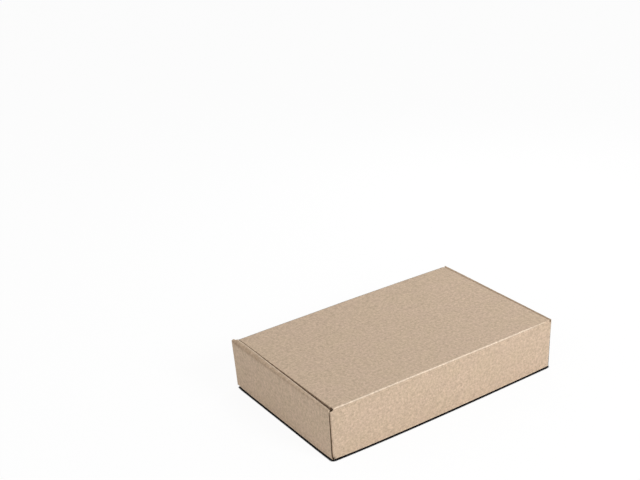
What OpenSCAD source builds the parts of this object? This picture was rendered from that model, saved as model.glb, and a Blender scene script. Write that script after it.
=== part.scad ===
// Closed mailer box folded from one die-cut sheet of thin corrugated board.
// The tray has a floor, two long walls with corner tabs, and end walls that roll over
// the tabs and lock into the floor. The lid folds on the rear wall's top crease and
// carries two side wings and a front tuck flap with two rounded ears.
// Origin: middle of the underside. X runs along the length, Y from the front (tuck side)
// to the rear (hinge side), Z up. Millimetres.

/* [Box] */
// Outer length, from end wall to end wall
box_l = 320; // [240:1:420]
// Outer width, from front wall to rear wall
box_w = 198; // [160:1:260]
// Outer height, from the underside to the top of the lid
box_h = 64; // [50:1:90]

/* [Board] */
// Thickness of the corrugated board
board_t = 1.5; // [1.1:0.1:2]
// Gap between two layers of board that lie on each other
layer_gap = 0.15; // [0.1:0.05:0.3]
// Outer radius of the soft folds that stand at the four corners
corner_r = 3; // [2.5:0.1:5]

/* [Tray] */
// Drop of the front wall's raw top edge below the top of the lid
front_drop = 0.5; // [0:0.1:2]
// Drop of the end walls' raw upright edges behind the faces of the long walls
end_inset = 0.4; // [0.2:0.1:1]
// Length of the corner tabs along the end walls
corner_tab_len = 60; // [35:1:70]
// Slant of the corner tabs' upper and lower edges, in degrees
corner_tab_slant = 8; // [2:1:12]
// Width of each locking tab at the foot of the inner end wall
lock_tab_w = 26; // [14:1:36]
// Distance between the middles of the two locking tabs of one end wall
lock_tab_pitch = 92; // [70:1:100]
// Clearance round a locking tab in its slot in the floor
slot_clear = 0.2; // [0.15:0.05:0.4]
// Height of the locking tabs' tips above the underside
lock_tab_rise = 0.3; // [0.1:0.1:0.8]
// Width of the cut that parts the folds at each corner of the floor
corner_cut = 1; // [0.5:0.1:2]

/* [Lid] */
// Running clearance between the lid and the walls it moves past
lid_clear = 0.4; // [0.3:0.05:0.8]
// Gap between the free edge of the tuck flap and the floor
flap_floor_gap = 6; // [3:1:16]
// Gap between the free edges of the side wings and the floor
wing_floor_gap = 11; // [3:1:20]
// Distance from the front crease to the root of each side wing
wing_front_inset = 4; // [3:0.5:15]
// Distance from the hinge crease to the root of each side wing
wing_rear_inset = 3; // [2:0.5:15]
// Slant of the wings' front edges, in degrees
wing_front_slant = 20; // [5:1:35]
// Slant of the wings' rear edges, in degrees
wing_rear_slant = 28; // [10:1:40]
// Side of the corner cut off each wing at its front foot
wing_nip = 6; // [2:0.5:12]
// Length of the rounded ears, folded back from the ends of the tuck flap
ear_len = 42; // [25:1:55]
// Distance from the front crease down to the root of each ear
ear_root_drop = 5; // [3:0.5:10]
// Slant of the ears' upper edges, more than the lean of the flap, in degrees
ear_slant = 6; // [3:1:15]

/* [Hinge] */
// Gap round the rolled crease in its seat on the rear wall
hinge_gap = 0.3; // [0.2:0.05:0.5]
// Angle over which the crease is rolled, from the lid's top face downward
hinge_roll = 150; // [120:5:165]

/* [Hidden] */
$fn = 64;

kraft = [0.74, 0.65, 0.55];
kraft_light = [0.78, 0.69, 0.60];
// Angle by which each fold runs on inside the panels that it joins
fold_lap = 2;
half_l = box_l / 2;
half_w = box_w / 2;
crease_z = box_h - board_t;
floor_x = half_l - board_t;
floor_y = half_w - board_t;

// Layers of an end wall, from outside to inside: outer wall, corner tabs, inner wall
roll_w = 3 * board_t + 2 * layer_gap;
tab_outer_x = half_l - board_t - layer_gap;
tab_inner_x = tab_outer_x - board_t;
roll_inner_x = half_l - roll_w;
corner_x = tab_outer_x - corner_r;
corner_y = half_w - corner_r;
inner_half_y = corner_y - layer_gap;
wall_edge_y = half_w - end_inset;
tab_foot_z = board_t + layer_gap;
tab_head_z = crease_z - layer_gap;

// The lid swings between the rolled end walls, its ears in the outermost layer
ear_outer_x = roll_inner_x - lid_clear;
wing_outer_x = ear_outer_x - board_t - layer_gap;
hinge_y = floor_y;
front_fold_y = lid_clear + board_t - floor_y;
flap_reach = hinge_y - front_fold_y;
flap_depth = crease_z - board_t - flap_floor_gap;
wing_depth = crease_z - board_t - wing_floor_gap;

// Lean that lets the flap's free edge pass the front wall on its arc about the hinge
flap_lean = asin(flap_depth / (2 * flap_reach));

// Filled wedge of a circle between two angles, at most 180 degrees apart
module wedge(r, from, to) {
    reach = 2 * r;
    middle = (from + to) / 2;
    intersection() {
        circle(r);
        polygon([
            [0, 0],
            reach * [cos(from), sin(from)],
            reach * [cos((from + middle) / 2), sin((from + middle) / 2)],
            reach * [cos(middle), sin(middle)],
            reach * [cos((middle + to) / 2), sin((middle + to) / 2)],
            reach * [cos(to), sin(to)]
        ]);
    }
}

// Section of a fold of the board, which laps into the panels on both sides
module fold_section(from, to) {
    wedge(board_t, from - fold_lap, to + fold_lap);
}

// Fold of the board about a line along X: drawn in the YZ plane, angles from +Y to +Z
module fold_along_x(y, z, length, from, to) {
    translate([-length / 2, y, z])
        rotate([90, 0, 90])
            linear_extrude(length)
                fold_section(from, to);
}

// Fold of the board about a line along Y: drawn in the XZ plane, angles from +X to +Z
module fold_along_y(x, z, y_from, y_to, from, to) {
    translate([x, y_to, z])
        rotate([90, 0, 0])
            linear_extrude(y_to - y_from)
                fold_section(from, to);
}

// Sheet of board in an upright plane across X, from an outline of [y, z] points
module sheet_across_x(x_from, outline) {
    translate([x_from, 0, 0])
        rotate([90, 0, 90])
            linear_extrude(board_t)
                polygon(outline);
}

// Plan of a long wall that turns at both soft corner folds into its tabs, for the +Y side
module long_side_plan() {
    translate([-corner_x, floor_y])
        square([2 * corner_x, board_t]);
    for (side = [0, 1])
        mirror([side, 0]) {
            translate([corner_x, corner_y])
                intersection() {
                    difference() {
                        circle(corner_r);
                        circle(corner_r - board_t);
                    }
                    square(corner_r);
                }
            translate([tab_inner_x, corner_y - corner_tab_len])
                square([board_t, corner_tab_len]);
        }
}

// Slanted cuts that taper the corner tabs towards their tips, for the +Y side
module corner_tab_cuts() {
    tip_y = corner_y - corner_tab_len;
    fall = corner_tab_len * tan(corner_tab_slant);
    for (end = [-1, 1])
        translate([end * (tab_inner_x + board_t / 2), 0, 0])
            rotate([90, 0, 90])
                linear_extrude(2 * board_t, center = true) {
                    polygon([[corner_y, tab_head_z], [tip_y, tab_head_z], [tip_y, tab_head_z - fall]]);
                    polygon([[corner_y, tab_foot_z], [tip_y, tab_foot_z + fall], [tip_y, tab_foot_z]]);
                }
}

// Long wall with its floor fold, its corner folds and their tabs, for the +Y side
module long_side(top_z) {
    translate([-corner_x, floor_y, board_t])
        cube([2 * corner_x, board_t, top_z - board_t]);
    fold_along_x(floor_y, board_t, 2 * (tab_outer_x - corner_cut), -90, 0);
    difference() {
        translate([0, 0, tab_foot_z])
            linear_extrude(tab_head_z - tab_foot_z)
                long_side_plan();
        corner_tab_cuts();
    }
}

// Seat for the rolled crease of the lid, cut into the top of the rear wall
module hinge_seat() {
    seat_half = wing_outer_x + lid_clear;
    translate([-seat_half, hinge_y, crease_z])
        rotate([0, 90, 0])
            cylinder(h = 2 * seat_half, r = board_t + hinge_gap);
}

// Rear wall with its tabs, its top hollowed for the rolled crease
module rear_side() {
    difference() {
        long_side(crease_z);
        hinge_seat();
    }
}

// Front wall with its tabs and a raw top edge
module front_side() {
    mirror([0, 1, 0])
        long_side(box_h - front_drop);
}

// Outer end wall with the fold at its foot and the roll's outer crease on top
module outer_end_wall() {
    sheet_across_x(floor_x, [
        [-wall_edge_y, board_t],
        [wall_edge_y, board_t],
        [wall_edge_y, crease_z],
        [-wall_edge_y, crease_z]
    ]);
    fold_along_y(floor_x, board_t, -wall_edge_y, wall_edge_y, -90, 0);
    fold_along_y(floor_x, crease_z, -wall_edge_y, wall_edge_y, 0, 90);
}

// Rest of the rolled top: a narrower strip and the inner crease
module rolled_top() {
    inner_fold_x = roll_inner_x + board_t;
    fold_along_y(inner_fold_x, crease_z, -inner_half_y, inner_half_y, 90, 180);
    translate([inner_fold_x, -inner_half_y, crease_z])
        cube([floor_x - inner_fold_x, 2 * inner_half_y, board_t]);
}

// Inner end wall with two locking tabs that reach down through the floor
module inner_end_wall() {
    sheet_across_x(roll_inner_x, [
        [-inner_half_y, tab_foot_z],
        [inner_half_y, tab_foot_z],
        [inner_half_y, crease_z],
        [-inner_half_y, crease_z]
    ]);
    for (side = [-1, 1])
        translate([roll_inner_x, side * lock_tab_pitch / 2 - lock_tab_w / 2, lock_tab_rise])
            cube([board_t, lock_tab_w, tab_foot_z + board_t - lock_tab_rise]);
}

// Double end wall for the +X end, from its floor fold to its locking tabs
module end_wall() {
    outer_end_wall();
    rolled_top();
    inner_end_wall();
}

// Slots in the floor for the locking tabs of both end walls
module lock_slots() {
    slot_w = board_t + 2 * slot_clear;
    slot_len = lock_tab_w + 2 * slot_clear;
    for (end = [-1, 1], side = [-1, 1])
        translate([end * (roll_inner_x + board_t / 2), side * lock_tab_pitch / 2, board_t / 2])
            cube([slot_w, slot_len, 2 * board_t], center = true);
}

// Floor panel between its four folds
module floor_panel() {
    difference() {
        translate([-floor_x, -floor_y, 0])
            cube([2 * floor_x, 2 * floor_y, board_t]);
        lock_slots();
    }
}

// The tray: floor, long sides with their corner tabs, and both end walls
module tray() {
    color(kraft) {
        floor_panel();
        rear_side();
        front_side();
        for (side = [0, 1])
            mirror([side, 0, 0])
                end_wall();
    }
}

// Top panel of the lid with its rolled crease at the rear and its fold at the front
module lid_panel() {
    half = wing_outer_x;
    flat_half = half - board_t;
    root_from = front_fold_y + wing_front_inset;
    root_to = hinge_y - wing_rear_inset;
    translate([-flat_half, front_fold_y, crease_z])
        cube([2 * flat_half, flap_reach, board_t]);
    fold_along_x(hinge_y, crease_z, 2 * half, 90 - hinge_roll + fold_lap, 90);
    fold_along_x(front_fold_y, crease_z, 2 * half, 90, 180 + flap_lean);
    for (side = [0, 1])
        mirror([side, 0, 0]) {
            fold_along_y(flat_half, crease_z, root_from, root_to, 0, 90);
            translate([0, front_fold_y, crease_z])
                cube([half, wing_front_inset, board_t]);
            translate([0, root_to, crease_z])
                cube([half, wing_rear_inset, board_t]);
        }
}

// Side wing of the lid, hanging inside the end wall, for the +X end
module side_wing() {
    front_y = front_fold_y + wing_front_inset;
    rear_y = hinge_y - wing_rear_inset;
    foot_z = crease_z - wing_depth;
    front_foot_y = front_y + wing_depth * tan(wing_front_slant);
    rear_foot_y = rear_y - wing_depth * tan(wing_rear_slant);
    sheet_across_x(wing_outer_x - board_t, [
        [front_y, crease_z],
        [front_foot_y - wing_nip * tan(wing_front_slant), foot_z + wing_nip],
        [front_foot_y + wing_nip, foot_z],
        [rear_foot_y, foot_z],
        [rear_y, crease_z]
    ]);
}

// Outline of an ear in the flap's own plane across X: y runs back, z down from the crease
module ear_outline() {
    foot = -flap_depth;
    head = -ear_root_drop;
    fall = ear_len * tan(flap_lean + ear_slant);
    intersection() {
        polygon([
            [0, foot],
            [ear_len, foot],
            [ear_len, head - fall],
            [0, head]
        ]);
        translate([0, head - fall])
            circle(ear_len);
    }
}

// Ear with its fold, for the +X end of the flap
module tuck_ear() {
    fold_x = ear_outer_x - board_t;
    ear_h = flap_depth - ear_root_drop;
    translate([fold_x, 0, 0])
        rotate([90, 0, 90])
            linear_extrude(board_t)
                ear_outline();
    translate([fold_x, 0, -flap_depth])
        linear_extrude(ear_h)
            fold_section(-90, 0);
}

// Front tuck flap with its ears, leaning into the box from the front fold
module tuck_flap() {
    half_end = ear_outer_x - board_t;
    translate([0, front_fold_y, crease_z])
        rotate([flap_lean, 0, 0]) {
            translate([-half_end, -board_t, -flap_depth])
                cube([2 * half_end, board_t, flap_depth]);
            for (side = [0, 1])
                mirror([side, 0, 0])
                    tuck_ear();
        }
}

// The lid: top panel, side wings, and the tuck flap with its ears
module lid() {
    color(kraft_light) {
        lid_panel();
        for (side = [0, 1])
            mirror([side, 0, 0])
                side_wing();
        tuck_flap();
    }
}

tray();
lid();
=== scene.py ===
"""Closed kraft mailer box: folded boards with their finishes, in a plain white studio."""

import logging
import math
from collections.abc import Callable, Iterable, Mapping, Sequence
from dataclasses import dataclass, field, replace
from enum import Enum
from functools import partial
from typing import TypeAlias

import bmesh
import bpy
from mathutils import Matrix, Vector, noise


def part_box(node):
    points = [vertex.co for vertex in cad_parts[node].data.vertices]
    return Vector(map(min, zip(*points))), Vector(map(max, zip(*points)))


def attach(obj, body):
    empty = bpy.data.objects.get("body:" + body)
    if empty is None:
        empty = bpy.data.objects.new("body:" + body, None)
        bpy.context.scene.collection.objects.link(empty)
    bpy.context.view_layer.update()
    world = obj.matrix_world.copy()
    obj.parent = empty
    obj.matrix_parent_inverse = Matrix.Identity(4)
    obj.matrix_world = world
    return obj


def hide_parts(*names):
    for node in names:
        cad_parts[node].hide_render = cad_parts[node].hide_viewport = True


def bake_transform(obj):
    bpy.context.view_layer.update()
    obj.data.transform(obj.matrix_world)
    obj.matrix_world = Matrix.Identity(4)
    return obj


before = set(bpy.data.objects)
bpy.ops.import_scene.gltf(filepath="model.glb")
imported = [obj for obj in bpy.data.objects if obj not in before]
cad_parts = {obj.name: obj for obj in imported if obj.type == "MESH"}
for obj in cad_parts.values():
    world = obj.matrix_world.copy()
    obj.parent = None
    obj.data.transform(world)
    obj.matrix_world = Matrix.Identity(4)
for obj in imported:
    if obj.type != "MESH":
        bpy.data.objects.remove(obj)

Pair: TypeAlias = tuple[float, float]
Colour: TypeAlias = tuple[float, float, float, float]
Reach: TypeAlias = Callable[[float], Pair]
Value: TypeAlias = "Wire | float"

LOG = logging.getLogger("mailer")
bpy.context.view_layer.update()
MM = 0.001
TINY = 1e-7
SIDES = (-1, 1)
X_AXIS, Y_AXIS, Z_AXIS = Vector((1, 0, 0)), Vector((0, 1, 0)), Vector((0, 0, 1))


def clamp(value: float) -> float:
    """Value kept from 0 to 1."""
    return min(1.0, max(0.0, value))


def ease(value: float, low: float = 0.0, high: float = 1.0) -> float:
    """Smooth step from 0 to 1 as value goes from low to high."""
    share = clamp((value - low) / (high - low))
    return share * share * (3 - 2 * share)


def between(pair: Pair, share: float) -> float:
    """Value at a share of the way from the first number of a pair to the second."""
    return pair[0] + (pair[1] - pair[0]) * clamp(share)


def around(middle: float, half: float) -> Pair:
    """Low and high limit of a span, from its middle and half its width."""
    return middle - half, middle + half


def lines_between(low: float, high: float, step: float, marks: Iterable[float] = ()) -> list[float]:
    """Makes grid lines that also pass through given marks.

    Args:
        low: First line.
        high: Last line.
        step: Distance that the lines are about apart.
        marks: Places that need a line of their own.

    Returns:
        The lines in rising order.
    """
    stops = sorted({low, high, *(mark for mark in marks if low < mark < high)})
    lines = [low]
    for start, stop in zip(stops, stops[1:]):
        count = max(1, round((stop - start) / step))
        lines += [start + (stop - start) * i / count for i in range(1, count + 1)]
    return lines


def both_sides(values: Iterable[float]) -> list[float]:
    """Gives each value and its opposite."""
    return [side * value for value in values for side in SIDES]


def mirrored(side: int, values: Iterable[float]) -> list[float]:
    """Values on the side that side (1 or -1) points to, in rising order."""
    return sorted(side * value for value in values)


def within(lines: Iterable[float], low: float, high: float) -> list[float]:
    """Keeps the lines between two limits, which are lines themselves."""
    return [line for line in lines if low - TINY <= line <= high + TINY]


def placed(name: str, data: bpy.types.ID) -> bpy.types.Object:
    """New object with the given data, linked into the scene."""
    made = bpy.data.objects.new(name, data)
    bpy.context.scene.collection.objects.link(made)
    return made


@dataclass(frozen=True)
class Board:
    """Corrugated board and the way it takes a score, in metres."""

    thickness: float = 1.5 * MM
    flute_pitch: float = 3.4 * MM
    groove_depth: float = 0.14 * MM
    groove_at: float = 1.3 * MM
    ridge_share: float = 0.34
    crush_width: float = 2.2 * MM
    grid_step: float = 3.2 * MM
    score_steps: tuple[float, ...] = (0.5 * MM, 1.1 * MM, 1.9 * MM, 3.0 * MM, 4.6 * MM)
    fold_parts: int = 8

    @property
    def bend(self) -> float:
        """Length of a sharp square fold along the middle of the board."""
        return math.pi / 2 * self.thickness / 2

    def groove(self, distance: float) -> float:
        """Depth of the shallow groove that a score leaves at a distance from the fold."""
        share = distance / self.groove_at
        return self.groove_depth * share * math.exp(1 - share)

    def crushed_and_shaded(self, distance: float) -> float:
        """How crushed the board next to a crushed fold still is, at a distance from it, which also sets its
        painted shade.
        """
        return math.exp(-((distance / self.crush_width) ** 2))

    def worn_and_highlight(self, share: float) -> float:
        """Burnish and painted highlight of a fold at a share of its bend: only the middle of the ridge is
        rubbed and painted lighter.
        """
        return math.exp(-(((share - 0.5) / self.ridge_share) ** 2))

    def near(self, fold: float, away: float) -> list[float]:
        """Lines close to a fold, on the side that away (1 or -1) points to."""
        return [fold + away * step for step in self.score_steps]


@dataclass(frozen=True)
class BoxSizes:
    """Places that the tray and the lid share, in metres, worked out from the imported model."""

    board: Board
    half_l: float
    half_w: float
    height: float
    layer_gap: float = 0.15 * MM
    lid_clear: float = 0.4 * MM
    corner_r: float = 3.0 * MM
    crease_strip: float = 3.0 * MM

    @classmethod
    def from_frame(cls, board: Board) -> "BoxSizes":
        """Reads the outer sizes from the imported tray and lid."""
        tray_high, lid_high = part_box("tray")[1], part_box("lid")[1]
        return cls(board, tray_high.x, tray_high.y, max(tray_high.z, lid_high.z))

    @property
    def crease_z(self) -> float:
        """Height of the inner corner of every top crease."""
        return self.height - self.board.thickness

    @property
    def floor_x(self) -> float:
        """Inner corner of the folds at the ends of the floor."""
        return self.half_l - self.board.thickness

    @property
    def floor_y(self) -> float:
        """Inner corner of the folds along the floor, and the hinge's place."""
        return self.half_w - self.board.thickness

    @property
    def roll_inner_x(self) -> float:
        """Inner face of the double end wall."""
        return self.half_l - 3 * self.board.thickness - 2 * self.layer_gap

    @property
    def tab_outer_x(self) -> float:
        """Outer face of the corner tabs."""
        return self.floor_x - self.layer_gap

    @property
    def corner_x(self) -> float:
        """Middle of the soft corner folds along X."""
        return self.tab_outer_x - self.corner_r

    @property
    def corner_y(self) -> float:
        """Middle of the soft corner folds along Y."""
        return self.half_w - self.corner_r

    @property
    def ear_outer_x(self) -> float:
        """Outer face of the ears."""
        return self.roll_inner_x - self.lid_clear

    @property
    def wing_outer_x(self) -> float:
        """Outer face of the side wings and end of the lid's creases."""
        return self.ear_outer_x - self.board.thickness - self.layer_gap

    @property
    def front_fold_y(self) -> float:
        """Inner corner of the fold at the lid's front."""
        return self.lid_clear + self.board.thickness - self.floor_y


class Side(Enum):
    """Faces of the board, each with a material slot of its own."""

    OUTER = 0
    INNER = 1
    RAW = 2


class Flutes(Enum):
    """Way that the flutes lie in a strip: along its folds, or across them."""

    ALONG_FOLDS = "along"
    ACROSS_FOLDS = "across"


@dataclass(frozen=True)
class Station:
    """One step along the section of a folded strip, drawn in a plane."""

    inner: Vector
    outer: Vector
    run: float
    worn_and_highlight: float
    crushed_and_shaded: float


class Pen:
    """Draws the section of a folded strip: straight runs and folds towards the inner face."""

    def __init__(self, board: Board, start: Pair, heading: Pair) -> None:
        """Starts a section.

        Args:
            board: The board that is folded.
            start: Place of the inner face in the section's plane.
            heading: Unit direction in which the section begins.
        """
        self.board = board
        self.place, self.heading = Vector(start), Vector(heading)
        self.travelled = 0.0
        self.stations: list[Station] = []

    @property
    def outward(self) -> Vector:
        """Direction from the inner face to the outer one."""
        return Vector((self.heading.y, -self.heading.x))

    def _add(self, inner: Vector, outward: Vector, depth: float, worn_and_highlight: float, crushed_and_shaded: float) -> None:
        """Adds a station, unless it repeats the last one."""
        outer = inner + outward * (self.board.thickness - depth)
        if not self.stations or (self.stations[-1].outer - outer).length >= TINY:
            self.stations.append(Station(inner, outer, self.travelled, worn_and_highlight, crushed_and_shaded))

    def run(
        self,
        length: float,
        scored: tuple[bool, bool] = (True, False),
        marks: Iterable[float] = (),
        crushed_and_shaded: Pair = (0.0, 0.0),
    ) -> "Pen":
        """Draws a straight run.

        Args:
            length: Length of the run.
            scored: Whether there is a fold at its start, and at its end.
            marks: Distances from its start that need a station.
            crushed_and_shaded: How crushed the fold at its start is, and the one at its end, which also
                darkens the liner there as painted shade.

        Returns:
            The pen itself.
        """
        board, begin, base = self.board, self.travelled, self.place
        close = [step for step in board.score_steps if scored[0]]
        close += [length - step for step in board.score_steps if scored[1]]
        for distance in lines_between(0.0, length, board.grid_step, [*close, *marks]):
            gaps = (distance, length - distance)
            depth = sum(board.groove(gap) for gap, is_scored in zip(gaps, scored) if is_scored)
            soft = max(share * board.crushed_and_shaded(gap) for gap, share in zip(gaps, crushed_and_shaded))
            self.travelled = begin + distance
            self._add(base + self.heading * distance, self.outward, depth, 0.0, soft)
        self.place = base + self.heading * length
        return self

    def fold(
        self,
        degrees: float = 90.0,
        inner_radius: float = 0.0,
        worn_and_highlight: float = 1.0,
        crushed_and_shaded: float = 0.0,
        crisp: float = 0.0,
    ) -> "Pen":
        """Draws a fold towards the inner face.

        Args:
            degrees: Angle of the fold.
            inner_radius: Radius of its inner face.
            worn_and_highlight: How burnished its ridge is, which also lightens it as a painted highlight.
            crushed_and_shaded: How crushed it is, which also darkens it as painted shade.
            crisp: Shape of its outer face, from 0, an arc, to 1, a square corner.

        Returns:
            The pen itself.
        """
        start, begin, parts = self.outward, self.travelled, self.board.fold_parts
        pivot = self.place - start * inner_radius
        whole = math.radians(degrees)
        for part in range(parts + 1):
            angle = whole * part / parts
            outward = Matrix.Rotation(angle, 2) @ start
            self.travelled = begin + angle * (inner_radius + self.board.thickness / 2)
            square = 1 / math.cos(min(angle, whole - angle)) - 1
            proud = crisp * square * (inner_radius + self.board.thickness)
            burnish_and_highlight = worn_and_highlight * self.board.worn_and_highlight(part / parts)
            self._add(pivot + outward * inner_radius, outward, -proud, burnish_and_highlight, crushed_and_shaded)
        self.heading = Matrix.Rotation(whole, 2) @ self.heading
        self.place = pivot + self.outward * inner_radius
        return self

    def take(self) -> list[Station]:
        """Hands over the stations drawn so far, and goes on from the last of them."""
        taken, self.stations = self.stations, self.stations[-1:]
        return taken


@dataclass(frozen=True)
class Plane:
    """Plane of a section in space, and the direction along which the section is drawn out."""

    first: Vector
    second: Vector
    along: Vector
    origin: Vector = Vector((0, 0, 0))

    def place(self, flat: Vector, shift: float) -> Vector:
        """Puts a point of the section into space, shifted along the folds."""
        return self.origin + self.first * flat.x + self.second * flat.y + self.along * shift


@dataclass(frozen=True)
class Spot:
    """One place on the sheet: both faces, the distance across the flutes, the wear with its painted
    highlight, and the crush with its painted shade.
    """

    outer: Vector
    inner: Vector
    across: float
    worn_and_highlight: float = 0.0
    crushed_and_shaded: float = 0.0


class BoardSheet:
    """A folded sheet of board, gathered as grids of spots that meet edge to edge."""

    WELD = 0.02 * MM
    SHARP_ANGLE = math.radians(38)

    def __init__(self, board: Board) -> None:
        """Starts an empty sheet of one kind of board."""
        self.board = board
        self.grids: list[tuple[list[list[Spot]], Callable[[int, int], bool]]] = []

    def plate(
        self,
        x_lines: Sequence[float],
        y_lines: Sequence[float],
        faces: Pair,
        folds: tuple[Pair, Pair],
        holes: Sequence[Sequence[float]] = (),
    ) -> None:
        """Adds a level panel.

        Args:
            x_lines: Grid lines along X.
            y_lines: Grid lines along Y.
            faces: Heights of the outer and of the inner face.
            folds: Folds across X and across Y that the panel meets.
            holes: Slots, each as its low x, high x, low y and high y.
        """
        away = math.copysign(1.0, faces[1] - faces[0])

        def spot(x: float, y: float) -> Spot:
            """Spot of the panel, in the grooves of the folds near it."""
            gaps = [abs(x - fold) for fold in folds[0]] + [abs(y - fold) for fold in folds[1]]
            depth = sum(self.board.groove(gap) for gap in gaps)
            return Spot(Vector((x, y, faces[0] + away * depth)), Vector((x, y, faces[1])), y)

        def is_hole(i: int, j: int) -> bool:
            """Whether a cell of the grid lies in a slot."""
            x, y = sum(x_lines[i : i + 2]) / 2, sum(y_lines[j : j + 2]) / 2
            return any(low < x < high and near < y < far for low, high, near, far in holes)

        self.grids.append(([[spot(x, y) for y in y_lines] for x in x_lines], is_hole))

    def strip(
        self,
        plane: Plane,
        stations: Sequence[Station],
        lines: Sequence[float],
        flutes: Flutes,
        reach: Reach | None = None,
        across_from: float = 0.0,
    ) -> None:
        """Adds a folded strip.

        Args:
            plane: Plane of the strip's section.
            stations: The section.
            lines: Grid lines along the folds.
            flutes: Way that the flutes lie.
            reach: Gives the limits that the lines are stretched to at a run, if they change.
            across_from: Distance across the flutes at the section's start, or at line 0.
        """
        rows = []
        for station in stations:
            low, high = reach(station.run) if reach else (lines[0], lines[-1])
            scale = (high - low) / (lines[-1] - lines[0])
            rows.append([])
            for shift in (low + (line - lines[0]) * scale for line in lines):
                across = across_from + (station.run if flutes is Flutes.ALONG_FOLDS else shift)
                outer, inner = plane.place(station.outer, shift), plane.place(station.inner, shift)
                rows[-1].append(Spot(outer, inner, across, station.worn_and_highlight, station.crushed_and_shaded))
        self.grids.append((rows, lambda i, j: False))

    def _surface(self) -> bmesh.types.BMesh:
        """Joins the grids to one middle surface, whose points know both faces of the board."""
        surface = bmesh.new()
        layers = surface.verts.layers.float_vector
        outer, inner, extra = layers.new("outer"), layers.new("inner"), layers.new("extra")
        for rows, is_hole in self.grids:
            grid = []
            for row in rows:
                grid.append([])
                for spot in row:
                    vert = surface.verts.new((spot.outer + spot.inner) / 2)
                    vert[outer], vert[inner] = spot.outer, spot.inner
                    vert[extra] = (spot.across, spot.worn_and_highlight, spot.crushed_and_shaded)
                    grid[-1].append(vert)
            for i, (here, there) in enumerate(zip(grid, grid[1:])):
                for j in range(len(here) - 1):
                    if is_hole(i, j):
                        continue
                    face = surface.faces.new([here[j], here[j + 1], there[j + 1], there[j]])
                    face.normal_update()
                    if face.normal.dot(here[j][outer] - here[j][inner]) < 0:
                        face.normal_flip()
        bmesh.ops.remove_doubles(surface, verts=surface.verts[:], dist=self.WELD)
        return surface

    def build(self, name: str, settle: Callable[[Spot], Spot]) -> bpy.types.Object:
        """Makes the closed mesh of the sheet.

        Args:
            name: Name of the new object.
            settle: Moves a spot of the crisp sheet to where the real board lies.

        Returns:
            The object, with one material slot for each side of the board.
        """
        surface, solid = self._surface(), bmesh.new()
        layers = surface.verts.layers.float_vector
        uv = solid.loops.layers.uv.new("board")
        # These layers carry real wear and crush, and also a painted highlight on fold ridges and painted
        # shade on crushed board.
        wear_and_highlight_layer = solid.verts.layers.float.new("worn_and_highlight")
        crush_and_shade_layer = solid.verts.layers.float.new("crushed_and_shaded")
        pairs: dict[bmesh.types.BMVert, list[bmesh.types.BMVert]] = {}
        across: dict[bmesh.types.BMVert, float] = {}
        for vert in surface.verts:
            faces = [vert[layers[face]].copy() for face in ("outer", "inner")]
            settled = settle(Spot(*faces, *vert[layers["extra"]]))
            pairs[vert] = [solid.verts.new(place) for place in (settled.outer, settled.inner)]
            for made in pairs[vert]:
                made[wear_and_highlight_layer], made[crush_and_shade_layer] = settled.worn_and_highlight, settled.crushed_and_shaded
                across[made] = settled.across

        def face(corners: list[bmesh.types.BMVert], side: Side, heights: Sequence[float]) -> None:
            """Adds a face of one side, with the map's heights at its corners."""
            made = solid.faces.new(corners)
            made.material_index = side.value
            made.smooth = side is not Side.RAW
            for loop, height in zip(made.loops, heights):
                loop[uv].uv = (across[loop.vert], height)

        for old in surface.faces:
            face([pairs[vert][0] for vert in old.verts], Side.OUTER, [1.0] * len(old.verts))
            face([pairs[vert][1] for vert in reversed(old.verts)], Side.INNER, [0.0] * len(old.verts))
            for loop in old.loops:
                if loop.edge.is_boundary:
                    here, there = pairs[loop.vert], pairs[loop.link_loop_next.vert]
                    face([here[1], there[1], there[0], here[0]], Side.RAW, (0.0, 0.0, 1.0, 1.0))
        surface.free()
        bmesh.ops.remove_doubles(solid, verts=solid.verts[:], dist=TINY)
        bmesh.ops.dissolve_degenerate(solid, dist=TINY, edges=solid.edges[:])
        for edge in solid.edges:
            if len(edge.link_faces) == 2 and edge.calc_face_angle(0.0) > self.SHARP_ANGLE:
                edge.smooth = False
        mesh = bpy.data.meshes.new(name)
        solid.to_mesh(mesh)
        solid.free()
        return placed(name, mesh)


@dataclass(frozen=True)
class EndSettling:
    """Way that one end of the box strays, each pair at the rear and at the front, in metres."""

    ridge_out: Pair
    ridge_up: Pair
    edge_out: Pair
    edge_up: Pair
    lid_out: Pair


LEFT_END = EndSettling(
    ridge_out=(2.8 * MM, 0.6 * MM),
    ridge_up=(-0.9 * MM, 1.3 * MM),
    edge_out=(0.6 * MM, 2.9 * MM),
    edge_up=(-0.1 * MM, 1.0 * MM),
    lid_out=(2.0 * MM, 1.1 * MM),
)
RIGHT_END = EndSettling(
    ridge_out=(4.2 * MM, 5.5 * MM),
    ridge_up=(-0.5 * MM, -0.5 * MM),
    edge_out=(2.5 * MM, 5.4 * MM),
    edge_up=(-0.4 * MM, -1.1 * MM),
    lid_out=(5.2 * MM, 6.3 * MM),
)


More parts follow.
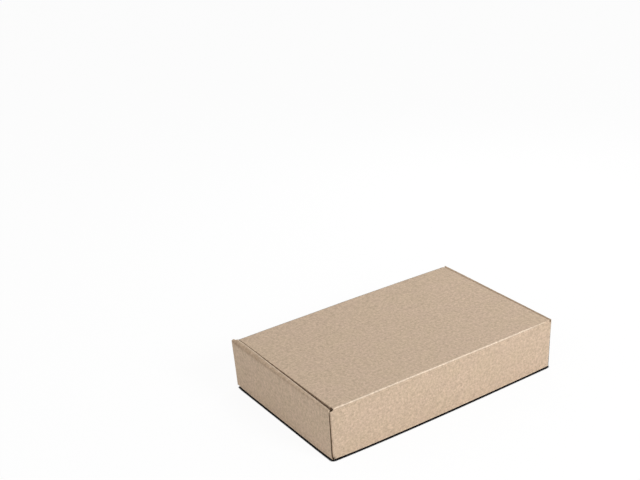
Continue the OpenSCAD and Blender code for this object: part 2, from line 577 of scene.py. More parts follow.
@dataclass(frozen=True)
class Settling:
    """Way that springy board strays from crisp folds, shared by both boards.

    Lengths are in metres. What ends in from is the share of half the length, half the width or the
    height at which a move sets in, and what ends in top is the share of the height where it ends.
    """

    sizes: BoxSizes
    left: EndSettling = LEFT_END
    right: EndSettling = RIGHT_END
    ripple: float = 0.2 * MM
    ripple_scale: float = 16.0
    ripple_seed: int = 5
    flat_foot: float = 15.0 * MM
    crumple: float = 0.12 * MM
    crumple_scale: float = 330.0
    worn_crumple: float = 0.3
    wall_bulge: float = 0.8 * MM
    foot_bulge: float = 2.1 * MM
    foot_lift: float = 0.25 * MM
    wall_lift: float = 0.8 * MM
    far_lift: float = 1.4 * MM
    foot_in: float = 1.2 * MM
    foot_high: float = 8.0 * MM
    front_crown: float = 0.85 * MM
    rear_dip: float = 0.5 * MM
    top_skew: float = 0.5
    top_from: float = 0.5
    corner_lift: float = 0.35 * MM
    # The rear crush share and the bumped roll also set how much painted shade darkens the liner.
    near_crush_and_shade: float = 0.45
    bumped_edge: float = 0.4
    bumped_edge_at: Pair = (-0.98 * MM, -0.28 * MM)
    bumped_and_shaded_roll: Pair = (1.7, 1.0)
    lid_sag: float = 0.5 * MM
    wing_bow: float = 1.6 * MM
    # The front rub share also sets how much painted highlight lightens fold ridges towards the front.
    front_rub_and_highlight: float = 0.3
    front_haste: float = 1.2
    lean_power: float = 1.5
    rise_from: float = 0.85
    end_from: float = 0.9
    wall_from_to: Pair = (0.6, 0.98)
    corner_from: Pair = (0.78, 0.88)
    corner_top: float = 0.3
    far_from: float = 0.75
    lift_top: float = 0.5

    def __post_init__(self) -> None:
        """Seeds the offsets that noise vectors have, so that each run gives the same ripple."""
        noise.seed_set(self.ripple_seed)

    def _ends(self, place: Vector) -> tuple[EndSettling, float]:
        """The end that a place belongs to, and how far it strays as the front does, from 0 to 1."""
        end = self.left if place.x > 0 else self.right
        forward = (self.sizes.half_w - place.y) / (2 * self.sizes.half_w)
        return end, min(1.0, self.front_haste * forward)

    def _shared(self, place: Vector) -> Vector:
        """Slight unevenness that moves neighbours alike, with a top that bows along its length."""
        s = self.sizes
        along, rearward = place.x / s.wing_outer_x, place.y / s.half_w
        hump = max(0.0, 1 - along * along) * (1 - self.top_skew * along)
        bow = self.front_crown * ease(-rearward) - self.rear_dip * ease(rearward)
        top = ease(place.z / s.height, self.top_from)
        ripple = noise.noise_vector(place * self.ripple_scale) * self.ripple
        return ripple * ease(place.z / self.flat_foot) + Z_AXIS * (bow * hump * top)

    def _lid_out(self, place: Vector) -> float:
        """Outward move of the lid and of all that is level with it, which grows at its sides."""
        end, front = self._ends(place)
        return between(end.lid_out, front) * ease(abs(place.x) / self.sizes.wing_outer_x, self.end_from)

    def _lean(self, place: Vector, rise: float) -> Vector:
        """Moves the end walls' tops: their inner ridge and their outer edge lean out and rise.

        Args:
            place: A place of the tray.
            rise: Its share of the way up to the creases.

        Returns:
            The move.
        """
        s = self.sizes
        end, front = self._ends(place)
        to_ridge = clamp((abs(place.x) - s.wing_outer_x) / (s.roll_inner_x - s.wing_outer_x))
        to_edge = clamp((abs(place.x) - s.roll_inner_x) / (s.half_l - s.roll_inner_x))
        ridge, edge = between(end.ridge_out, front), between(end.edge_out, front)
        out = between((self._lid_out(place), ridge), to_ridge) + (edge - ridge) * to_edge
        ridge, edge = between(end.ridge_up, front), between(end.edge_up, front)
        up = ridge * to_ridge + (edge - ridge) * to_edge
        outward = math.copysign(out * rise**self.lean_power, place.x)
        return X_AXIS * outward + Z_AXIS * (up * ease(rise, self.rise_from))

    def _foot(self, place: Vector, wall: float) -> Vector:
        """Moves the foot: lifted edges and corners, and an end wall that is rounded in at +X.

        Args:
            place: A place of the tray.
            wall: How much it belongs to a long wall, from 0 to 1.

        Returns:
            The move.
        """
        s = self.sizes
        reach, aside = abs(place.x) / s.half_l, abs(place.y) / s.half_w
        corner = ease(reach, self.corner_from[0]) * ease(aside, self.corner_from[1])
        up = self.corner_lift * corner * (1 - ease(place.z / s.height, 0.0, self.corner_top))
        at_end = ease(reach, self.end_from)
        near = at_end if place.x > 0 else 0.0
        far = ease(-place.y / s.half_w, self.far_from)
        lift = max(self.foot_lift * at_end, self.wall_lift * wall) + self.far_lift * far * near
        up += lift * (1 - ease(place.z / s.height, 0.0, self.lift_top))
        inward = self.foot_in * near * (1 - far) * (1 - ease(place.z / self.foot_high))
        return Z_AXIS * up - X_AXIS * inward

    def tray_move(self, place: Vector) -> Vector:
        """Moves a place of the tray: leaning ends, bulging long walls, lifted corners."""
        s = self.sizes
        rise = clamp(place.z / s.crease_z)
        wall = ease(abs(place.y) / s.half_w, *self.wall_from_to)
        along = place.x / s.corner_x
        foot = self.foot_bulge * (1 + self.top_skew * along)
        bulge = foot * (1 - rise) + self.wall_bulge * math.sin(math.pi * rise)
        sideways = math.copysign(bulge * max(0.0, 1 - along**2) * wall, place.y)
        moved = place + self._shared(place) + Y_AXIS * sideways
        return moved + self._lean(place, rise) + self._foot(place, wall)

    def lid_move(self, place: Vector) -> Vector:
        """Moves a place of the lid: a slight sag, and sides that spread."""
        s = self.sizes
        top = ease(place.z - s.crease_z, -self.wing_bow, 0.0)
        middle = max(0.0, 1 - (place.x / s.wing_outer_x) ** 2)
        depth = max(0.0, 1 - (place.y / s.floor_y) ** 2)
        sag = Z_AXIS * (self.lid_sag * middle * depth)
        outward = X_AXIS * math.copysign(self._lid_out(place), place.x)
        return place + self._shared(place) + (outward - sag) * top

    def _settle(self, spot: Spot, move: Callable[[Vector], Vector]) -> Spot:
        """Moves both faces of a spot, and roughens its outer face where the board is crushed."""
        outer, inner = move(spot.outer), move(spot.inner)
        rough = noise.noise(spot.outer * self.crumple_scale) * self.crumple
        outer += (outer - inner).normalized() * rough * (self.worn_crumple * spot.worn_and_highlight + spot.crushed_and_shaded)
        return replace(spot, outer=outer, inner=inner)

    def tray(self, spot: Spot) -> Spot:
        """Settles a spot of the tray, whose -X corners are bumped flat; the -X roll's top is darkened as
        painted shade, and fold ridges get less painted highlight towards the front.
        """
        s, place = self.sizes, spot.outer
        front = self._ends(place)[1]
        worn_and_highlight = spot.worn_and_highlight * between((1.0, self.front_rub_and_highlight), front)
        crushed_and_shaded = spot.crushed_and_shaded * between((self.near_crush_and_shade, 1.0), front)
        if place.x < -s.floor_x:
            crushed_and_shaded = max(crushed_and_shaded, self.bumped_edge * ease(abs(place.y) - s.half_w, *self.bumped_edge_at))
        # The -X roll's top loses its ridge highlight and is darkened as painted shade.
        if place.x < -s.wing_outer_x and place.z > s.crease_z - s.board.thickness:
            worn_and_highlight, crushed_and_shaded = 0.0, between(self.bumped_and_shaded_roll, front)
        return self._settle(replace(spot, worn_and_highlight=worn_and_highlight, crushed_and_shaded=crushed_and_shaded), self.tray_move)

    def lid(self, spot: Spot) -> Spot:
        """Settles a spot of the lid."""
        return self._settle(spot, self.lid_move)


@dataclass
class Tray:
    """Floor, long walls with corner tabs, and double end walls with a rolled top."""

    sizes: BoxSizes
    end_inset: float = 0.4 * MM
    front_over: float = 0.8 * MM
    short_corner: float = 0.7 * MM
    wide_turn: float = 0.7 * MM
    bumped_crisp: float = 0.9
    corner_cut: float = 0.3 * MM
    step_from: float = 0.5 * MM
    step_over: float = 0.9 * MM
    foot_round: float = 0.5 * MM
    foot_spread: float = 0.35
    roll_over: float = 2.0 * MM
    roll_crisp: float = 0.5
    # The roll's crush and the folds' wear levels below also set painted shade and a painted highlight on the
    # liner.
    roll_crush_and_shade: float = 0.9
    flute_skew: float = 0.45 * MM
    floor_wear_and_highlight: float = 0.5
    corner_wear_and_highlight: float = 0.15
    edge_wear_and_highlight: float = 0.1
    tab_len: float = 60.0 * MM
    tab_slant: float = math.radians(8)
    corner_drop: float = 2.3 * MM
    lock_tab_w: float = 26.0 * MM
    lock_tab_pitch: float = 92.0 * MM
    slot_clear: float = 0.2 * MM
    lock_tab_rise: float = 0.3 * MM
    sheet: BoardSheet = field(init=False)

    def __post_init__(self) -> None:
        """Works out the grid lines that neighbouring panels share."""
        s, board = self.sizes, self.sizes.board
        self.sheet = BoardSheet(board)
        self.roll_half = s.corner_y - s.layer_gap
        self.roll_strip = s.floor_x - s.roll_inner_x - board.thickness
        self.fold_end = s.tab_outer_x - self.corner_cut
        self.turn_x = s.corner_x - self.wide_turn
        half_tab, half_board = self.lock_tab_w / 2, board.thickness / 2
        self.lock_y = around(self.lock_tab_pitch / 2, half_tab)
        self.slots_y = around(self.lock_tab_pitch / 2, half_tab + self.slot_clear)
        self.slots_x = around(s.roll_inner_x + half_board, half_board + self.slot_clear)
        widen = s.floor_y / self.roll_half
        x_marks = [*self.slots_x, self.fold_end, self.turn_x, s.wing_outer_x, *board.near(s.floor_x, -1)]
        y_marks = [*self.slots_y, *(y * widen for y in self.lock_y), *board.near(s.floor_y, -1)]
        self.x_lines = lines_between(-s.floor_x, s.floor_x, board.grid_step, both_sides(x_marks))
        self.y_lines = lines_between(-s.floor_y, s.floor_y, board.grid_step, both_sides(y_marks))

    def _floor(self) -> None:
        """Adds the floor with its four slots."""
        s = self.sizes
        ends = [mirrored(end, self.slots_x) for end in SIDES]
        holes = [(*x_span, *mirrored(side, self.slots_y)) for x_span in ends for side in SIDES]
        folds = ((-s.floor_x, s.floor_x), (-s.floor_y, s.floor_y))
        self.sheet.plate(self.x_lines, self.y_lines, (0.0, s.board.thickness), folds, holes)

    def _corner_reach(self, run: float) -> Pair:
        """Foot and head of the corner fold and its tab, at a run from the long wall."""
        s = self.sizes
        bend = math.pi / 2 * (s.corner_r + self.wide_turn - s.board.thickness / 2)
        fall = max(0.0, run - bend) * math.tan(self.tab_slant)
        turned = ease(run / bend)
        foot = s.board.thickness + s.layer_gap + self.foot_round * turned + fall
        return foot, s.crease_z - s.layer_gap - self.corner_drop * turned - fall

    def _long_side(self, side: int) -> None:
        """Adds a long wall with its floor fold, its corner folds and tabs.

        Args:
            side: 1 for the rear wall, whose top belongs to the crease, or -1 for the front wall.
        """
        s, board, sheet = self.sizes, self.sizes.board, self.sheet
        section = Plane(Y_AXIS * side, Z_AXIS, X_AXIS)
        add = partial(sheet.strip, section, flutes=Flutes.ALONG_FOLDS, across_from=s.floor_y)
        pen = Pen(board, (s.floor_y, board.thickness), (1, 0)).fold(worn_and_highlight=self.floor_wear_and_highlight)
        add(pen.take(), within(self.x_lines, -self.fold_end, self.fold_end))
        head = s.crease_z - s.layer_gap - board.thickness
        crease = s.crease_z - s.crease_strip - board.thickness
        wall_lines = within(self.x_lines, -self.turn_x, self.turn_x)
        lower = pen.run(crease, marks=[s.layer_gap]).take()
        add(lower, wall_lines)
        upper = pen.run(head - crease, (False, False)).take()
        if side == 1:
            for end in SIDES:
                add(upper, within(self.x_lines, *mirrored(end, (s.wing_outer_x, self.turn_x))))
        else:
            add(upper, wall_lines)
            add(pen.run(s.crease_z - head - board.thickness, (False, False)).take(), wall_lines)
        z_lines = [station.outer.y for station in [*lower, *upper[1:]]]
        z_lines = within(z_lines, board.thickness + s.layer_gap, board.thickness + head)
        for end in SIDES:
            corner = Plane(X_AXIS * -end, Y_AXIS * side, Z_AXIS)
            turn = Pen(board, (-self.turn_x, s.floor_y), (-1, 0))
            radius = s.corner_r + self.wide_turn - board.thickness
            crisp = self.bumped_crisp if end < 0 else 0.0
            turn.fold(90, radius, worn_and_highlight=self.corner_wear_and_highlight, crisp=crisp).run(self.tab_len, (False, False))
            sheet.strip(corner, turn.take(), z_lines, Flutes.ACROSS_FOLDS, self._corner_reach)

    def _end_reach(self, end: int, run: float) -> Pair:
        """Limits of an end wall at a run from the floor: wide wall, then narrower roll.

        Args:
            end: 1 for the +X end, or -1 for the -X end, whose rear corner was cut short.
            run: Distance along the section.

        Returns:
            Front and rear limit.
        """
        s, bend = self.sizes, self.sizes.board.bend
        over = run - (2 * bend + s.crease_z - s.board.thickness)
        risen = ease(run / (self.foot_spread * bend))
        rolled = ease((over - self.step_from) / self.step_over)
        tucked = ease((over - self.roll_strip) / bend)
        wide = s.half_w - self.end_inset
        cut, beyond = (self.short_corner, 0.0) if end < 0 else (0.0, self.roll_over)
        top = self.roll_half + beyond * (1 - tucked)
        front, rear = (
            between((between((s.floor_y, reach), risen), roll), rolled)
            for reach, roll in ((wide + self.front_over, self.roll_half), (wide - cut, top))
        )
        return -front, rear

    def _end_wall(self, end: int) -> None:
        """Adds a double end wall: outer wall, rolled top, inner wall and locking tabs.

        Args:
            end: 1 for the +X end, or -1 for the -X end.
        """
        s, board, sheet = self.sizes, self.sizes.board, self.sheet
        section = Plane(X_AXIS * end, Z_AXIS, Y_AXIS)
        foot = board.thickness + s.layer_gap
        steps = lines_between(self.step_from, self.step_from + self.step_over, self.step_over / 4)
        pen = Pen(board, (s.floor_x, board.thickness), (1, 0)).fold(worn_and_highlight=self.floor_wear_and_highlight)
        # The end wall's top fold and roll strip are crushed, which also darkens them as painted shade.
        pen.run(s.crease_z - board.thickness, (True, True), crushed_and_shaded=(0.0, 1.0))
        pen.fold(worn_and_highlight=self.edge_wear_and_highlight, crushed_and_shaded=1.0)
        pen.run(self.roll_strip, (False, False), marks=steps, crushed_and_shaded=(self.roll_crush_and_shade, 0.0))
        pen.fold(crisp=self.roll_crisp).run(s.crease_z - foot)
        reach, skew = partial(self._end_reach, end), end * self.flute_skew
        sheet.strip(section, pen.take(), self.y_lines, Flutes.ACROSS_FOLDS, reach, skew)
        tab = pen.run(foot - self.lock_tab_rise, (False, False)).take()
        inner_lines = [line * self.roll_half / s.floor_y for line in self.y_lines]
        for side in SIDES:
            sheet.strip(section, tab, within(inner_lines, *mirrored(side, self.lock_y)), Flutes.ACROSS_FOLDS)

    def build(self, settling: Settling) -> bpy.types.Object:
        """Builds the tray's board.

        Args:
            settling: The way that the board strays from crisp folds.

        Returns:
            The tray, riding on its body in place of the plain node.
        """
        self._floor()
        for side in (1, -1):
            self._long_side(side)
            self._end_wall(side)
        made = self.sheet.build("tray_board", settling.tray)
        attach(made, "tray")
        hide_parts("tray")
        return made


@dataclass
class Lid:
    """Lid panel with side wings, and a tuck flap with two rounded ears."""

    sizes: BoxSizes
    side_crisp: float = 0.9
    wing_front_inset: float = 4.0 * MM
    wing_front_slant: float = math.radians(20)
    wing_rear_slant: float = math.radians(28)
    wing_nip: float = 6.0 * MM
    wing_rear_nip: float = 0.5
    wing_floor_gap: float = 11.0 * MM
    flap_floor_gap: float = 6.0 * MM
    # The front fold's wear level also sets a painted highlight on its ridge.
    front_wear_and_highlight: float = 0.7
    ear_len: float = 42.0 * MM
    ear_root_drop: float = 5.0 * MM
    ear_slant: float = math.radians(6)
    ear_blunt: float = 0.998
    # The ears' wear level also sets a painted highlight on their folds.
    ear_wear_and_highlight: float = 0.8
    ear_steps: int = 14
    sheet: BoardSheet = field(init=False)

    def __post_init__(self) -> None:
        """Works out the places of the folds and the grid lines that panels share."""
        s, board = self.sizes, self.sizes.board
        self.sheet = BoardSheet(board)
        inside = s.crease_z - board.thickness
        self.wing_depth = inside - self.wing_floor_gap
        self.flap_depth = inside - self.flap_floor_gap
        self.lean = math.asin(self.flap_depth / (2 * (s.floor_y - s.front_fold_y)))
        self.side_fold_x = s.wing_outer_x - board.thickness
        self.rear_y = s.floor_y - s.crease_strip
        self.wing_front_y = s.front_fold_y + self.wing_front_inset
        x_marks = both_sides(board.near(self.side_fold_x, -1))
        self.x_lines = lines_between(-self.side_fold_x, self.side_fold_x, board.grid_step, x_marks)
        y_marks = [self.wing_front_y, *board.near(s.front_fold_y, 1), *board.near(s.floor_y, -1)]
        self.y_lines = lines_between(s.front_fold_y, self.rear_y, board.grid_step, y_marks)

    def _panel(self) -> None:
        """Adds the lid panel and the two short stubs beside its front fold."""
        s = self.sizes
        faces = (s.height, s.crease_z)
        folds = ((-self.side_fold_x, self.side_fold_x), (s.front_fold_y, s.floor_y))
        self.sheet.plate(self.x_lines, self.y_lines, faces, folds)
        stub_y = within(self.y_lines, s.front_fold_y, self.wing_front_y)
        for end in SIDES:
            self.sheet.plate(mirrored(end, (self.side_fold_x, s.wing_outer_x)), stub_y, faces, folds)

    def _wing_reach(self, run: float) -> Pair:
        """Front and rear limits of a side wing at a run from the lid panel."""
        depth = max(0.0, run - self.sizes.board.bend)
        nip = max(0.0, depth - (self.wing_depth - self.wing_nip)) ** 2 / self.wing_nip
        front = self.wing_front_y + depth * math.tan(self.wing_front_slant) + nip
        return front, self.rear_y - depth * math.tan(self.wing_rear_slant) - self.wing_rear_nip * nip

    def _wings(self) -> None:
        """Adds the side wings with their folds."""
        s = self.sizes
        lines = within(self.y_lines, self.wing_front_y, self.rear_y)
        for end in SIDES:
            section = Plane(X_AXIS * -end, Z_AXIS, Y_AXIS)
            pen = Pen(s.board, (-self.side_fold_x, s.crease_z), (-1, 0)).fold(worn_and_highlight=0.0, crisp=self.side_crisp)
            # The wing is crushed next to its fold, which also darkens it as painted shade in the gap beside
            # the lid.
            pen.run(self.wing_depth, marks=[self.wing_depth - self.wing_nip], crushed_and_shaded=(1.0, 0.0))
            self.sheet.strip(section, pen.take(), lines, Flutes.ACROSS_FOLDS, self._wing_reach)

    def _ear_reach(self, run: float) -> Pair:
        """Limits of an ear at a run from the flap, as depths down from the front fold."""
        back = min(self.ear_len * self.ear_blunt, max(0.0, run - self.sizes.board.bend))
        slant = math.tan(self.lean + self.ear_slant)
        middle = self.ear_root_drop + self.ear_len * slant
        chord = math.sqrt(self.ear_len**2 - back**2)
        head = max(self.ear_root_drop + back * slant, middle - chord)
        return head, min(self.flap_depth, middle + chord)

    def _flap(self) -> None:
        """Adds the front fold, the tuck flap and its ears."""
        s, sheet = self.sizes, self.sheet
        section = Plane(Y_AXIS, Z_AXIS, X_AXIS)
        add = partial(sheet.strip, section, flutes=Flutes.ALONG_FOLDS, across_from=s.front_fold_y)
        pen = Pen(s.board, (s.front_fold_y, s.crease_z), (-1, 0))
        pen.fold(90 + math.degrees(self.lean), worn_and_highlight=self.front_wear_and_highlight)
        crease_lines = [-s.wing_outer_x, *self.x_lines, s.wing_outer_x]
        add(pen.take(), crease_lines)
        begin, half = pen.travelled, s.ear_outer_x - s.board.thickness
        normal, downward, root = (Vector((0, *flat)) for flat in (pen.outward, pen.heading, pen.place))
        widen = (half - s.wing_outer_x) / self.ear_root_drop

        def reach(run: float) -> Pair:
            """Limits of the flap at a run, which widens to the ears' folds."""
            end = s.wing_outer_x + widen * min(self.ear_root_drop, run - begin)
            return -end, end

        flap = pen.run(self.flap_depth, marks=[self.ear_root_drop]).take()
        add(flap, crease_lines, reach=reach)
        depths = within([station.run - begin for station in flap], self.ear_root_drop, self.flap_depth)
        quarter = math.pi / 2 / self.ear_steps
        steps = [self.ear_len * math.sin(quarter * i) for i in range(1, self.ear_steps)]
        for end in SIDES:
            side = Plane(X_AXIS * -end, normal, downward, root)
            turn = Pen(s.board, (-half, 0), (-1, 0)).fold(worn_and_highlight=self.ear_wear_and_highlight).run(self.ear_len, marks=steps)
            sheet.strip(side, turn.take(), depths, Flutes.ACROSS_FOLDS, self._ear_reach)

    def build(self, settling: Settling) -> bpy.types.Object:
        """Builds the lid's board.

        Args:
            settling: The way that the board strays from crisp folds.

        Returns:
            The lid, riding on its body in place of the plain node.
        """
        self._panel()
        self._wings()
        self._flap()
        made = self.sheet.build("lid_board", settling.lid)
        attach(made, "lid")
        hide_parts("lid")
        return made


@dataclass
class HingeCrease:
    """The strip of board round the top rear crease."""

    sizes: BoxSizes
    soft_end: float = 4.0 * MM
    blotch_scale: float = 150.0
    blotch_level: float = 0.15
    blotch_swing: float = 0.9
    patchy_span: Pair = (7.3 / 9, 8.3 / 9)

    def build(self, settling: Settling) -> bpy.types.Object:
        """Builds the crease, settled as the lid above the fold and the tray below it.

        Args:
            settling: The way that the board strays from crisp folds.

        Returns:
            The strip of board.
        """
        s = self.sizes
        sheet = BoardSheet(s.board)
        marks = both_sides(s.board.near(s.wing_outer_x, -1))
        lines = lines_between(-s.wing_outer_x, s.wing_outer_x, s.board.grid_step, marks)
        pen = Pen(s.board, (s.floor_y, s.crease_z - s.crease_strip), (0, 1))
        pen.run(s.crease_strip, (False, True)).fold().run(s.crease_strip, (True, False))
        section = Plane(Y_AXIS, Z_AXIS, X_AXIS)
        sheet.strip(section, pen.take(), lines, Flutes.ALONG_FOLDS, across_from=s.floor_y)

        def settle(spot: Spot) -> Spot:
            """Settles a spot as the nearer board does; the burnish and its painted highlight are patchy
            towards -X.
            """
            above = spot.outer.z - s.crease_z > spot.outer.y - s.floor_y
            settled = settling.lid(spot) if above else settling.tray(spot)
            blotch = self.blotch_level + self.blotch_swing * noise.noise(spot.outer * self.blotch_scale)
            patchy = between((1.0, blotch), ease(-spot.outer.x / s.wing_outer_x, *self.patchy_span))
            soft = ease((s.wing_outer_x - abs(spot.outer.x)) / self.soft_end)
            return replace(settled, worn_and_highlight=settled.worn_and_highlight * soft * max(0.0, patchy))

        made = sheet.build("hinge_crease", settle)
        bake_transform(made)
        return made


def math_method(operation: str, swapped: bool = False) -> Callable[..., "Wire"]:
    """Makes a method of Wire that adds a Math node.

    Args:
        operation: Blender's name of the operation.
        swapped: Whether the wire itself comes last, as in a reflected operator.

    Returns:
        The method, which takes the other values of the operation.
    """

    def method(self: "Wire", *others: Value) -> "Wire":
        """Adds the Math node and gives its result."""
        values = (*others, self) if swapped else (self, *others)
        return self.shader.node("Math", dict(enumerate(values)), operation=operation).wire("Value")

    return method


class Wire:
    """A node socket that adds Math nodes when it is used in an expression."""

    __add__ = __radd__ = math_method("ADD")
    __sub__ = math_method("SUBTRACT")
    __rsub__ = math_method("SUBTRACT", swapped=True)
    __mul__ = __rmul__ = math_method("MULTIPLY")
    __abs__ = math_method("ABSOLUTE")
    __gt__ = math_method("GREATER_THAN")
    larger = math_method("MAXIMUM")
    sine = math_method("SINE")

    def __init__(self, shader: "Shader", socket: bpy.types.NodeSocket) -> None:
        """Wraps an output socket of a shader's node."""
        self.shader, self.socket = shader, socket

    def ramp(self, low: float, high: float, start: float = 0.0, end: float = 1.0) -> "Wire":
        """Smooth step of the value.

        Args:
            low: Value that gives start.
            high: Value that gives end.
            start: Result at low.
            end: Result at high.

        Returns:
            The stepped value.
        """
        inputs = {"Value": self, "From Min": low, "From Max": high, "To Min": start, "To Max": end}
        return self.shader.node("MapRange", inputs, interpolation_type="SMOOTHSTEP").wire("Result")


@dataclass(frozen=True)
class Node:
    """A node that was added to a shader."""

    shader: "Shader"
    made: bpy.types.Node

    def wire(self, name: str | int) -> Wire:
        """Output socket with the given name or number, ready for expressions."""
        return Wire(self.shader, self.made.outputs[name])


class Shader:
    """Node tree of a new material or of the world, with one way to add nodes."""

    def __init__(self, owner: bpy.types.Material | bpy.types.World) -> None:
        """Empties the owner's node tree."""
        owner.use_nodes = True
        self.tree = owner.node_tree
        self.tree.nodes.clear()

    def node(self, kind: str, inputs: Mapping[str | int, object] | None = None, **settings: object) -> Node:
        """Adds a node.

        Args:
            kind: Blender's name for the node's type, without its ShaderNode.
            inputs: Value or wire for each socket, by name or number.
            settings: Properties of the node, which are set first.

        Returns:
            The new node.
        """
        made = self.tree.nodes.new("ShaderNode" + kind)
        for name, value in settings.items():
            setattr(made, name, value)
        for name, value in (inputs or {}).items():
            if isinstance(value, Wire):
                self.tree.links.new(value.socket, made.inputs[name])
            else:
                made.inputs[name].default_value = value
        return Node(self, made)

    def noise(self, place: Wire, scale: float, detail: float = 2.0) -> Wire:
        """Soft noise from 0 to 1 with the given number of bumps to a metre."""
        inputs = {"Vector": place, "Scale": scale, "Detail": detail, "Roughness": 0.6}
        return self.node("TexNoise", inputs).wire(0)

    def mix(self, share: Value, first: object, second: object, blend: str = "MIX") -> Wire:
        """Mixes two colours.

        Args:
            share: Share of the second colour.
            first: Colour or wire at share 0.
            second: Colour or wire at share 1.
            blend: The way that the colours are mixed.

        Returns:
            The mixed colour.
        """
        inputs = {0: share, 6: first, 7: second}
        return self.node("Mix", inputs, data_type="RGBA", blend_type=blend).wire(2)

    def grey(self, level: Wire) -> Wire:
        """Grey colour of a level."""
        return self.node("CombineXYZ", {"X": level, "Y": level, "Z": level}).wire(0)

    def slanted(self, place: Wire, turn: float, squeeze: float = 0.12) -> Wire:
        """Coordinates in which noise becomes short strokes in one slanted direction."""
        inputs = {"Vector": place, "Rotation": (turn, turn, turn), "Scale": (squeeze, 1.0, 1.0)}
        return self.node("Mapping", inputs).wire("Vector")

    def flecks(self, place: Wire, scale: float, rarity: float) -> Wire:
        """Sparse small dots, as loose chips of bark and pale fibre make them."""
        cells = self.node("TexVoronoi", {"Vector": place, "Scale": scale}, feature="F1")
        pick = self.node("SeparateColor", {"Color": cells.wire("Color")}).wire(0)
        return (pick > rarity) * cells.wire("Distance").ramp(0.05, 0.16, 1.0, 0.0)

    def bump(self, height: Wire, distance: float) -> Wire:
        """Normal that follows a height, which is a share of the distance."""
        return self.node("Bump", {"Height": height, "Distance": distance, "Strength": 1.0}).wire("Normal")

    def attribute(self, name: str) -> Wire:
        """Number that the mesh carries at each point."""
        return self.node("Attribute", attribute_name=name).wire("Fac")

    def background_rays(self) -> Wire:
        """1 for rays that see the background directly, in gloss or through glass, else 0."""
        path = self.node("LightPath")
        rays = path.wire("Is Camera Ray") + path.wire("Is Glossy Ray") + path.wire("Is Transmission Ray")
        return rays > 0.5

    def finish(self, surface: Node) -> None:
        """Links a shader node to the surface output."""
        kind = "OutputWorld" if surface.made.type == "BACKGROUND" else "OutputMaterial"
        self.node(kind, {"Surface": surface.wire(0)})


def srgb(red: float, green: float, blue: float) -> Colour:
    """Linear colour of a screen colour given from 0 to 255."""

    def linear(level: float) -> float:
        """Linear level of a screen level."""
        level /= 255
        return level / 12.92 if level <= 0.04045 else ((level + 0.055) / 1.055) ** 2.4

    return (linear(red), linear(green), linear(blue), 1.0)


@dataclass(frozen=True)
class Blots:
    """Soft noise cut by a ramp: bumps to a metre, the ramp's limits and its least result."""

    scale: float
    low: float
    high: float
    least: float = 0.0
    detail: float = 2.0

    def wire(self, shader: Shader, place: Wire) -> Wire:
        """Result at a place, from the least one to 1."""
        return shader.noise(place, self.scale, self.detail).ramp(self.low, self.high, self.least)


@dataclass(frozen=True, kw_only=True)
class Finish:
    """Finish of one side of the board: each kind works out its surface in a method of its own."""

    name: str
    roughness: float
    gloss: float
    relief: float

    def _surface(self, shader: Shader, place: Wire, waves: Wire, height: Wire) -> tuple[Wire, Wire]:
        """Works out what varies over the surface.

        Args:
            shader: The material's shader.
            place: Place on the object, in metres.
            waves: Height of the flutes' medium, from -1 to 1.
            height: Share of the way from the inner face to the outer one.

        Returns:
            The colour, and the bumps as shares of the relief.
        """
        raise NotImplementedError

    def material(self) -> bpy.types.Material:
        """Makes the finish's material."""
        made = bpy.data.materials.new(self.name)
        shader = Shader(made)
        place = shader.node("TexCoord").wire("Object")
        chart = shader.node("UVMap", uv_map="board").wire("UV")
        parts = shader.node("SeparateXYZ", {"Vector": chart})
        pitch = Board.flute_pitch
        waves = ((parts.wire("X") + 0.25 * pitch) * (2 * math.pi / pitch)).sine()
        colour, bumps = self._surface(shader, place, waves, parts.wire("Y"))
        inputs = {"Base Color": colour, "Normal": shader.bump(bumps, self.relief)}
        inputs |= {"Roughness": self.roughness, "Specular IOR Level": self.gloss}
        shader.finish(shader.node("BsdfPrincipled", inputs))
        return made


